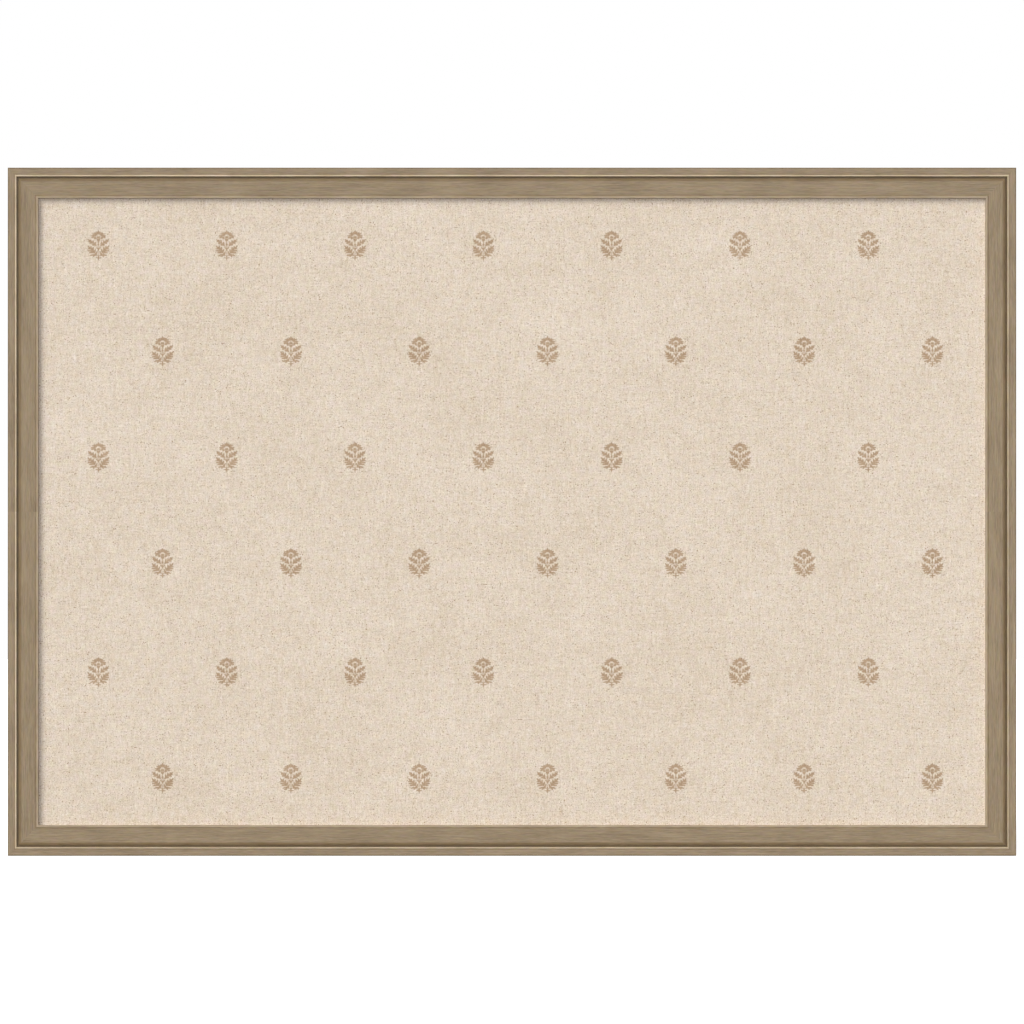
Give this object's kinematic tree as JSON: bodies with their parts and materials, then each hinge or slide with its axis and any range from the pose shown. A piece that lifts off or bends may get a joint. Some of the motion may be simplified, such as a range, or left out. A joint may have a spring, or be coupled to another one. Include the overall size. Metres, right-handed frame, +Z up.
{
  "type": "pin board",
  "caption": "Fabric covered cork pin board in a mitred picture moulding, with swinging D-ring strap hangers on the back.",
  "frame": {"origin": "middle of the flat outer face of the bottom rail, half way through the moulding's depth", "axes": "+X to the right as seen from the front, +Y out of the back towards the wall, +Z up; the covered face looks along -Y"},
  "size_m": [0.96, 0.029, 0.6551],
  "materials": {
    "moulding": "brushed taupe-brown glaze over wood, satin",
    "linen": "oatmeal linen with small printed tone-on-tone sprigs",
    "cork": "pressed cork granules, matt",
    "hardboard": "brown hardboard, smooth",
    "backing": "thin fibreboard, matt",
    "tabs": "blued spring steel",
    "hanger_steel": "zinc plate, slightly dulled",
    "nail_steel": "plain steel",
    "bumper_rubber": "soft dark brown rubber, matt"
  },
  "bodies": {
    "root": {"backing_board": "backing", "bumper_left": "bumper_rubber", "bumper_right": "bumper_rubber", "cork_sheet": "cork", "fabric_cover": "linen", "hardboard_panel": "hardboard", "rail_bottom": "moulding", "rail_left": "moulding", "rail_right": "moulding", "rail_top": "moulding", "screw_left_lower": "hanger_steel", "screw_left_upper": "hanger_steel", "screw_right_lower": "hanger_steel", "screw_right_upper": "hanger_steel", "strap_left": "hanger_steel", "strap_right": "hanger_steel", "tab_bottom_1": "tabs", "tab_bottom_2": "tabs", "tab_bottom_3": "tabs", "tab_bottom_4": "tabs", "tab_bottom_5": "tabs", "tab_left_1": "tabs", "tab_left_2": "tabs", "tab_left_3": "tabs", "tab_left_4": "tabs", "tab_right_1": "tabs", "tab_right_2": "tabs", "tab_right_3": "tabs", "tab_right_4": "tabs", "tab_top_1": "tabs", "tab_top_2": "tabs", "tab_top_3": "tabs", "tab_top_4": "tabs", "tab_top_5": "tabs", "v_nail_bottom_left_inner": "nail_steel", "v_nail_bottom_left_outer": "nail_steel", "v_nail_bottom_right_inner": "nail_steel", "v_nail_bottom_right_outer": "nail_steel", "v_nail_top_left_inner": "nail_steel", "v_nail_top_left_outer": "nail_steel", "v_nail_top_right_inner": "nail_steel", "v_nail_top_right_outer": "nail_steel"},
    "ring_left": {"ring_left": "hanger_steel"},
    "ring_right": {"ring_right": "hanger_steel"}
  },
  "joints": [
    {"name": "ring_left_swing", "type": "hinge", "parent": "root", "child": "ring_left", "pos_m": [-0.46897, 0.01425, 0.4951], "axis": [1, 0, 0], "range_deg": [0, 178]},
    {"name": "ring_right_swing", "type": "hinge", "parent": "root", "child": "ring_right", "pos_m": [0.46897, 0.01425, 0.4951], "axis": [1, 0, 0], "range_deg": [0, 178]}
  ]
}
